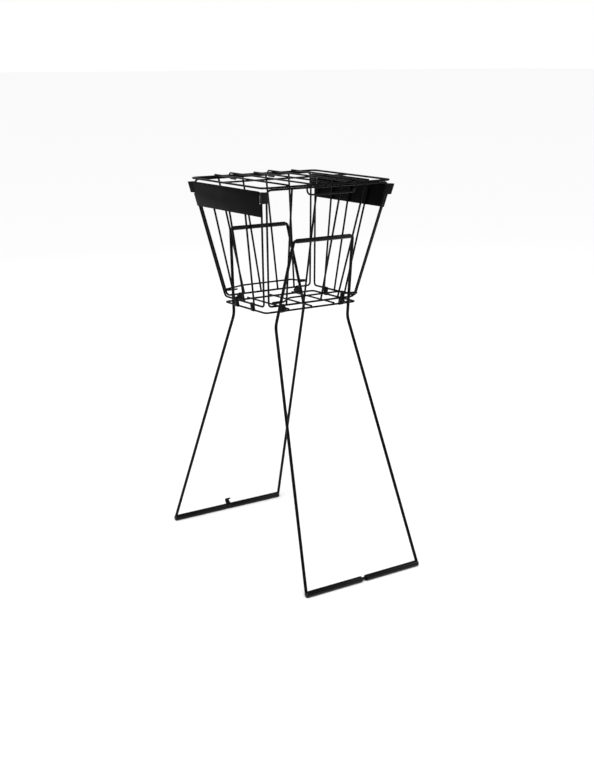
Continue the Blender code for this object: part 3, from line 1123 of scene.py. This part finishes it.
@dataclass
class Catch:
    """The hook on the back foot bar that fits over the front one when the legs are folded.

    The mouth is the hook's opening in degrees. The strap between eye and hook sinks into each by a
    share of the band's wall.
    """

    foot: Vector
    width: float = 11.5 * MM
    reach: float = 15 * MM
    wall: float = 2.2 * MM
    mouth: float = 110.0
    eye_sink: float = 0.5
    hook_sink: float = 0.2
    eye_steps: int = 32
    hook_steps: int = 16
    edge_round: float = 0.5 * MM

    @property
    def bore(self) -> float:
        """Inner radius of the eye and the hook."""
        return WIRES.leg / 2 + 2 * WIRES.gap

    def draw(self, shape: BMesh) -> None:
        """Draws the eye, the strap and the hook."""
        start = self.foot - X * self.width / 2
        self.draw_band(shape, start, 0.0, FULL_TURN)
        half_round = math.pi - math.radians(self.mouth) / 2
        self.draw_band(shape, start + Z * self.reach, -half_round, half_round)
        strap = [
            start + Y * y + Z * z + X * x
            for x in (0, self.width)
            for y in (0, self.wall)
            for z in (
                self.bore + self.wall * self.eye_sink,
                self.reach - self.bore - self.wall * self.hook_sink,
            )
        ]
        draw_hull(shape, strap, self.edge_round)

    def draw_band(self, shape: BMesh, start: Vector, low: float, high: float) -> None:
        """Draws a curved strip round a level axis by spinning its section.

        Args:
            shape: the mesh that it goes into.
            start: a point of the axis at the strip's near side.
            low: the angle it starts at, from +Y towards +Z.
            high: the angle it stops at.
        """
        scratch = bmesh.new()
        bore, outer = self.bore, self.bore + self.wall
        corners = [
            scratch.verts.new(Vector((x, radius * math.cos(low), radius * math.sin(low))))
            for x, radius in ((0, bore), (0, outer), (self.width, outer), (self.width, bore))
        ]
        section = scratch.faces.new(corners)
        whole = math.isclose(high - low, FULL_TURN)
        bmesh.ops.spin(
            scratch,
            geom=[section, *section.edges, *section.verts],
            cent=(0, 0, 0),
            axis=X,
            angle=high - low,
            steps=self.eye_steps if whole else self.hook_steps,
            use_merge=whole,
        )
        if whole:
            bmesh.ops.delete(scratch, geom=[section], context="FACES_ONLY")
        bmesh.ops.recalc_face_normals(scratch, faces=scratch.faces)
        sharp = [edge for edge in scratch.edges if edge.calc_face_angle(0) > BAND_EDGE]
        round_edges(scratch, sharp, self.edge_round)
        bmesh.ops.translate(scratch, verts=scratch.verts, vec=start)
        pour(scratch, shape)

    def build(self) -> None:
        """Makes the catch in its finish."""
        finish_piece("foot_catch_hook", self.draw, NYLON, "catch", "catch")


@dataclass
class Lid:
    """The welded wire lid, whose long wire makes the two hinge eyes and the hanging lip.

    The curves of eyes and lip are drawn by degrees from straight up, in steps.
    """

    gap_y: float = 2 * MM
    bend: float = 12 * MM
    bars: int = 5
    pitch: float = 53.3 * MM
    overhang: float = 3 * MM
    cross_wire_y: float = 12 * MM
    eye_reach: float = 23.5 * MM
    eye_end: float = 4 * MM
    lip_drop: float = 14.6 * MM
    lip_standoff: float = 8.5 * MM
    lip_bend: float = 4.5 * MM
    lip_start: int = 60
    curve_end: int = 180
    curve_step: int = 10
    bead: tuple[float, float, float] = (0.62, 0.55, 0.4)  # shares of the wires' diameters

    @property
    def height(self) -> float:
        """Height of the frame wire, which rests on the long rims."""
        rest = (WIRES.frame + WIRES.lid_frame) / 2 + WIRES.gap
        return BASKET.rim_height + math.sqrt(rest**2 - self.gap_y**2)

    @property
    def bar_height(self) -> float:
        """Height of the bars, which are welded on top of the frame wire."""
        return self.height + (WIRES.lid_frame + WIRES.lid) / 2 - WIRES.sink

    def loop_path(self) -> list[Vector]:
        """The long wire: an eye, a bar, the lip, the other bar and the other eye.

        An eye is a long loop over, behind and under the back rim, which it turns on.

        Returns:
            The points of the wire's centre line.
        """
        rim_y = BASKET.top_width / 2
        lip_y = rim_y + self.lip_standoff
        under = BASKET.rim_height - (WIRES.frame + WIRES.lid) / 2 - 2 * WIRES.gap
        turn = (self.bar_height - under) / 2
        eye: list[Vector] = []
        for degrees in range(0, self.curve_end + 1, self.curve_step):
            angle = math.radians(degrees)
            y = rim_y + self.eye_reach - turn + turn * math.sin(angle)
            z = under + turn + turn * math.cos(angle)
            eye.append(Vector((self.pitch, y, z)))
        eye.append(Vector((self.pitch, rim_y - self.eye_end, under)))
        radius = (self.bar_height - BASKET.rim_height + self.lip_drop) / 2
        middle = self.bar_height - radius
        lip: list[Vector] = []
        for degrees in range(self.lip_start, self.curve_end + 1, self.curve_step):
            angle = math.radians(degrees)
            x, z = self.pitch + radius * math.sin(angle), middle + radius * math.cos(angle)
            lip.append(Vector((x, -lip_y, z)))
        right = [*reversed(eye), Vector((self.pitch, -lip_y, self.bar_height)), *lip]
        bends = [0.0] * len(eye) + [self.lip_bend] + [0.0] * len(lip)
        return rounded(right + mirrored(right), bends + bends[::-1], closed=False)

    def draw(self, shape: BMesh) -> None:
        """Draws the frame, the bars, the lengthwise wire, the long wire and the welds."""
        half_x = BASKET.top_length / 2 + BASKET.corner_gap_x
        half_y = BASKET.top_width / 2 - self.gap_y
        edge = rectangle(half_x, half_y, self.height, self.bend)
        draw_wire(shape, edge, WIRES.lid_frame, closed=True)
        reach = half_y + self.overhang
        level = (self.bar_height + self.height) / 2
        across, along, tall = self.bead
        bead = (WIRES.lid * across, WIRES.lid_frame * along, WIRES.lid * tall)
        for i in range(self.bars):
            x = self.pitch * (i - (self.bars - 1) / 2)
            if not math.isclose(abs(x), self.pitch):  # those two bars are in the long wire
                ends = [Vector((x, y, self.bar_height)) for y in (-reach, reach)]
                draw_wire(shape, ends, WIRES.lid)
            for y in (-half_y, half_y, self.cross_wire_y):
                draw_weld(shape, Vector((x, y, level)), bead)
        cross = [Vector((x, self.cross_wire_y, self.height)) for x in (-half_x, half_x)]
        draw_wire(shape, cross, WIRES.lid)
        draw_wire(shape, self.loop_path(), WIRES.lid)

    def build(self) -> None:
        """Makes the lid in its finish."""
        finish_piece("lid_wires", self.draw, POWDER_COAT, "lid", "lid")


@dataclass(frozen=True)
class Lamp:
    """A soft square lamp that points at the basket."""

    name: str
    place: tuple[float, float, float]
    size: float
    watts: float

    def hang(self, target: Vector) -> None:
        """Hangs the lamp so that it looks at the target."""
        data = bpy.data.lights.new(self.name, "AREA")
        data.shape = "SQUARE"
        data.size = self.size
        data.energy = self.watts
        lamp = bpy.data.objects.new(self.name, data)
        lamp.location = self.place
        lamp.rotation_euler = (Vector(self.place) - target).to_track_quat("Z", "Y").to_euler()
        link(lamp)


@dataclass(frozen=True)
class Studio:
    """The camera, the floor and the lights."""

    azimuth: float = math.radians(-34.87)
    elevation: float = math.radians(14.62)
    distance: float = 2.9452
    aim_side: float = 0.0152
    aim_height: float = 0.3961
    focal_pixels: float = 1259.88
    sensor: float = 36.0
    floor_size: float = 160.0
    floor_colour: str = "#f6f6f6"
    floor_roughness: float = 0.9
    room_strength: float = 0.25
    sun_strength: float = 3.45
    sun_spread: float = math.radians(50)
    sun_place: tuple[float, float, float] = (-0.55, -0.65, 1.0)
    lamps: tuple[Lamp, ...] = (
        Lamp("fill_light", (2.6, -1.6, 1.8), 1.4, 24),
        Lamp("back_light", (0.4, 2.8, 2.6), 1.8, 18),
    )

    def camera(self) -> None:
        """Places the camera where the photograph was taken from."""
        right = Vector((math.cos(self.azimuth), math.sin(self.azimuth), 0))
        aim = right * self.aim_side + Z * self.aim_height
        level = X * math.sin(self.azimuth) - Y * math.cos(self.azimuth)
        away = level * math.cos(self.elevation) + Z * math.sin(self.elevation)
        data = bpy.data.cameras.new("camera")
        data.sensor_fit = "VERTICAL"
        data.sensor_height = self.sensor
        data.lens = self.focal_pixels / IMAGE_HEIGHT * self.sensor
        camera = bpy.data.objects.new("camera", data)
        camera.location = aim + away * self.distance
        camera.rotation_euler = away.to_track_quat("Z", "Y").to_euler()
        link(camera)
        bpy.context.scene.camera = camera

    def floor(self) -> None:
        """Lays a plain pale floor."""
        shape = bmesh.new()
        bmesh.ops.create_grid(shape, x_segments=1, y_segments=1, size=self.floor_size / 2)
        mesh = bpy.data.meshes.new("floor")
        shape.to_mesh(mesh)
        shape.free()
        paper = bpy.data.materials.new("pale_floor")
        paper.use_nodes = True
        shader = paper.node_tree.nodes["Principled BSDF"]
        shader.inputs["Base Color"].default_value = linear(self.floor_colour)
        shader.inputs["Roughness"].default_value = self.floor_roughness
        mesh.materials.append(paper)
        floor = bpy.data.objects.new("floor", mesh)
        link(floor)

    def room(self) -> None:
        """Surrounds the object with white paper, dimmer as a light than the camera sees it."""
        world = bpy.data.worlds.new("white_paper_room")
        world.use_nodes = True
        tree = world.node_tree
        seen = add_node(tree, "ShaderNodeLightPath", {}, {}).outputs["Is Camera Ray"]
        strength = add_node(
            tree,
            "ShaderNodeMapRange",
            {"To Min": self.room_strength, "To Max": 1.0},
            {"Value": seen},
        )
        background = tree.nodes["Background"]
        background.inputs["Color"].default_value = (1, 1, 1, 1)
        tree.links.new(strength.outputs["Result"], background.inputs["Strength"])
        bpy.context.scene.world = world
        bpy.context.scene.view_settings.view_transform = "Standard"

    def sun(self) -> None:
        """Lights floor and object with one wide soft source."""
        data = bpy.data.lights.new("soft_overhead", "SUN")
        data.energy = self.sun_strength
        data.angle = self.sun_spread
        lamp = bpy.data.objects.new("soft_overhead", data)
        lamp.rotation_euler = Vector(self.sun_place).to_track_quat("Z", "Y").to_euler()
        link(lamp)

    def build(self) -> None:
        """Sets up the whole studio."""
        self.camera()
        self.floor()
        self.room()
        self.sun()
        for lamp in self.lamps:
            lamp.hang(Z * self.aim_height)


def joint_place(name: str) -> Vector:
    """Where a joint's axis is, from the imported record.

    Args:
        name: the joint's name.

    Returns:
        A point of its axis.
    """
    record = next(joint for joint in frame["joints"] if joint["name"] == name)
    return Vector(record["pos_m"])


def main() -> None:
    """Builds the studio and every piece, in the order of the sub-assemblies."""
    logging.basicConfig(level=logging.INFO, format="%(message)s")
    Studio().build()
    for side in (*LONG_SIDES, *SHORT_SIDES):
        WallPanel(side).build()
    for side in SHORT_SIDES:
        SidePlate(side).build()
    GRID.build()
    pins = {side: joint_place(f"{side.word}_leg_fold") for side in LONG_SIDES}
    for long_side in LONG_SIDES:
        for short_side in SHORT_SIDES:
            CornerClip(long_side, short_side).build()
            RingClip(long_side, short_side).build()
            HingeBlock(long_side, short_side, pins[long_side]).build()
    legs = {side: Leg(side, pins[side]) for side in LONG_SIDES}
    for leg in legs.values():
        leg.build()
    Catch(legs[Side.BACK].foot).build()
    Lid().build()


if __name__ == "__main__":
    main()
